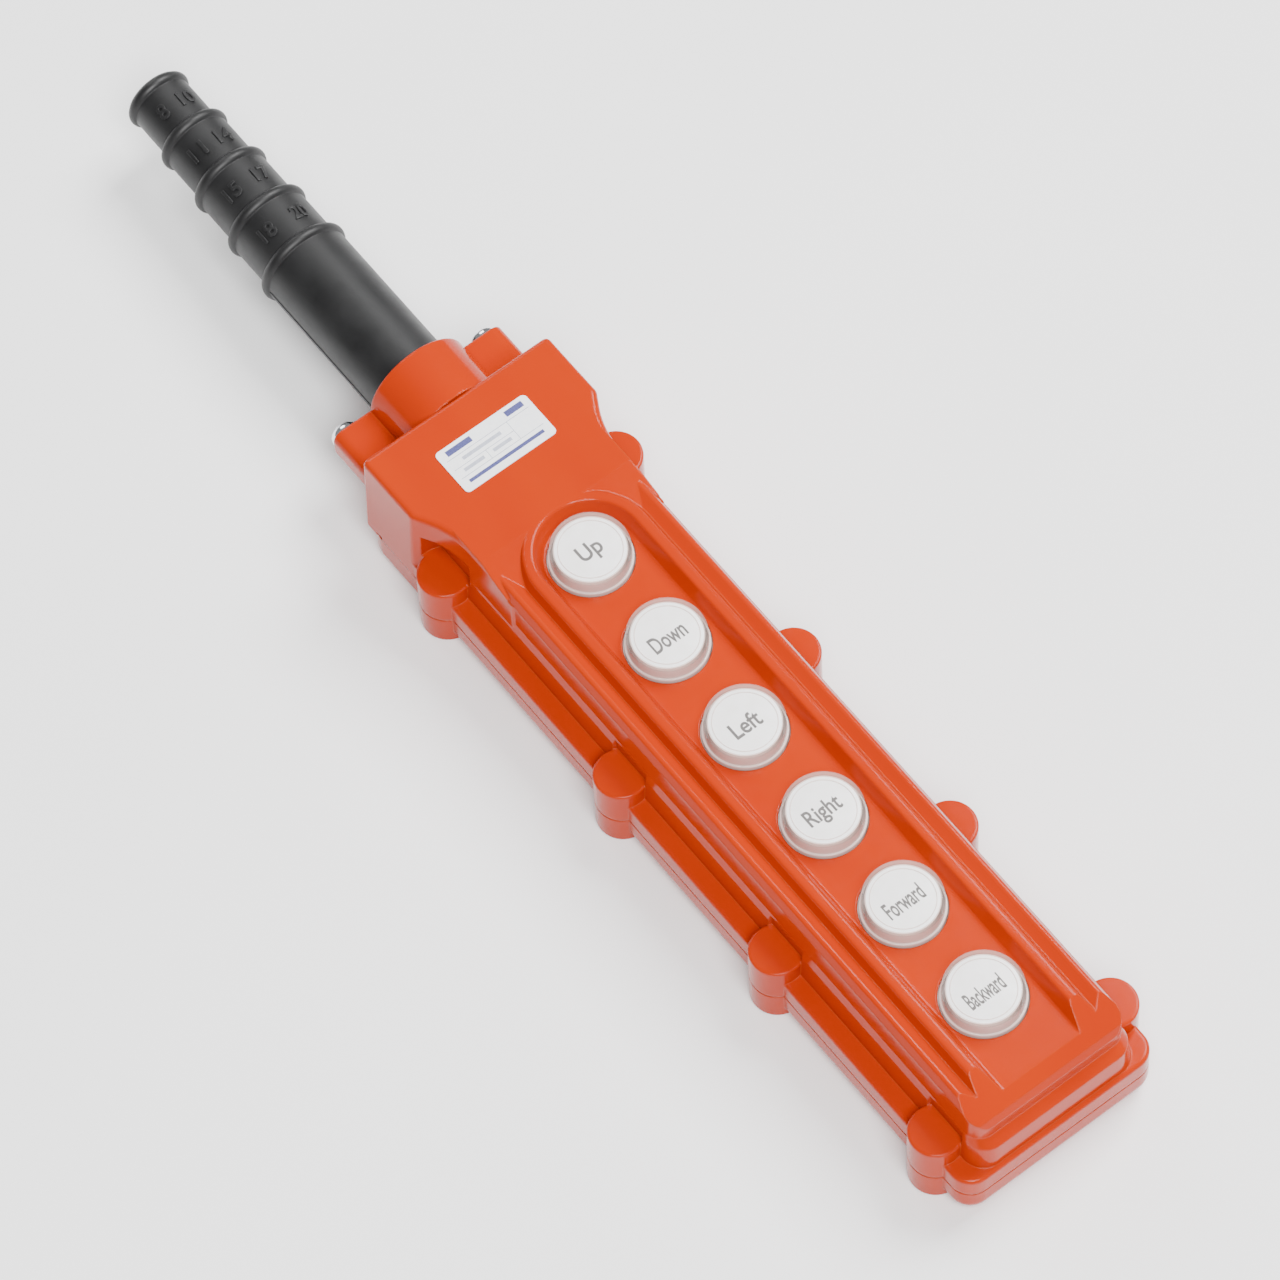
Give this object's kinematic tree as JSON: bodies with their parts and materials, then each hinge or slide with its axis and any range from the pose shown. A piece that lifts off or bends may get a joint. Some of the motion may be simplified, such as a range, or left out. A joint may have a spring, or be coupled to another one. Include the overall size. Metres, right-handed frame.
{
  "type": "pendant control station",
  "caption": "Hand-held crane pendant: orange two-part housing with a row of clear spring-return push buttons and a stepped rubber cable sleeve.",
  "frame": {"origin": "on the back plane, under the middle of the station's length and width, which is under the first button", "axes": "+Z out of the buttons, +Y along the length towards the cable sleeve, +X to the right seen from the front with the sleeve up"},
  "size_m": [0.0796, 0.432, 0.049],
  "materials": {
    "orange_housing": "semi-gloss moulded",
    "sleeve_rubber": "satin moulded",
    "seal_rubber": "matt",
    "chromed_steel": "polished",
    "plated_steel": "zinc plated",
    "spring_steel": "drawn wire",
    "brass_contacts": "stamped",
    "label_plate": "printed film",
    "clear_cap": "clear moulded plastic",
    "white_legend": "smooth moulded",
    "white_moulding": "satin moulded",
    "black_moulding": "satin moulded"
  },
  "bodies": {
    "housing": {"front_shell": "orange_housing", "back_cover": "orange_housing", "cover_gasket": "seal_rubber", "cover_screws": "plated_steel", "rating_label": "label_plate", "cable_sleeve": "sleeve_rubber", "gland_collar": "orange_housing", "gland_screws": "chromed_steel", "button_seals": "seal_rubber", "contact_rail": "plated_steel", "rail_screws": "plated_steel", "block_screws": "plated_steel", "terminal_screws": "brass_contacts", "earth_screw": "brass_contacts", "cable_clamp": "black_moulding", "clamp_screws": "plated_steel", "contact_block_1": "black_moulding", "contact_block_2": "black_moulding", "contact_block_3": "black_moulding", "fixed_contacts_1": "brass_contacts", "fixed_contacts_2": "brass_contacts", "fixed_contacts_3": "brass_contacts", "return_spring_up": "spring_steel", "return_spring_down": "spring_steel", "return_spring_left": "spring_steel", "return_spring_right": "spring_steel", "return_spring_forward": "spring_steel", "return_spring_backward": "spring_steel"},
    "button_up": {"button_cap_up": "clear_cap", "legend_disc_up": "white_legend", "plunger_up": "white_moulding", "contact_bridge_up": "brass_contacts"},
    "button_down": {"button_cap_down": "clear_cap", "legend_disc_down": "white_legend", "plunger_down": "white_moulding", "contact_bridge_down": "brass_contacts"},
    "button_left": {"button_cap_left": "clear_cap", "legend_disc_left": "white_legend", "plunger_left": "white_moulding", "contact_bridge_left": "brass_contacts"},
    "button_right": {"button_cap_right": "clear_cap", "legend_disc_right": "white_legend", "plunger_right": "white_moulding", "contact_bridge_right": "brass_contacts"},
    "button_forward": {"button_cap_forward": "clear_cap", "legend_disc_forward": "white_legend", "plunger_forward": "white_moulding", "contact_bridge_forward": "brass_contacts"},
    "button_backward": {"button_cap_backward": "clear_cap", "legend_disc_backward": "white_legend", "plunger_backward": "white_moulding", "contact_bridge_backward": "brass_contacts"}
  },
  "joints": [
    {"name": "press_up", "type": "slide", "parent": "housing", "child": "button_up", "axis": [0, 0, -1], "range_m": [0, 0.0045], "stiffness_N_per_m": 400, "springref_m": -0.005, "deforming": ["return_spring_up"]},
    {"name": "press_down", "type": "slide", "parent": "housing", "child": "button_down", "axis": [0, 0, -1], "range_m": [0, 0.0045], "stiffness_N_per_m": 400, "springref_m": -0.005, "deforming": ["return_spring_down"]},
    {"name": "press_left", "type": "slide", "parent": "housing", "child": "button_left", "axis": [0, 0, -1], "range_m": [0, 0.0045], "stiffness_N_per_m": 400, "springref_m": -0.005, "deforming": ["return_spring_left"]},
    {"name": "press_right", "type": "slide", "parent": "housing", "child": "button_right", "axis": [0, 0, -1], "range_m": [0, 0.0045], "stiffness_N_per_m": 400, "springref_m": -0.005, "deforming": ["return_spring_right"]},
    {"name": "press_forward", "type": "slide", "parent": "housing", "child": "button_forward", "axis": [0, 0, -1], "range_m": [0, 0.0045], "stiffness_N_per_m": 400, "springref_m": -0.005, "deforming": ["return_spring_forward"]},
    {"name": "press_backward", "type": "slide", "parent": "housing", "child": "button_backward", "axis": [0, 0, -1], "range_m": [0, 0.0045], "stiffness_N_per_m": 400, "springref_m": -0.005, "deforming": ["return_spring_backward"]}
  ]
}
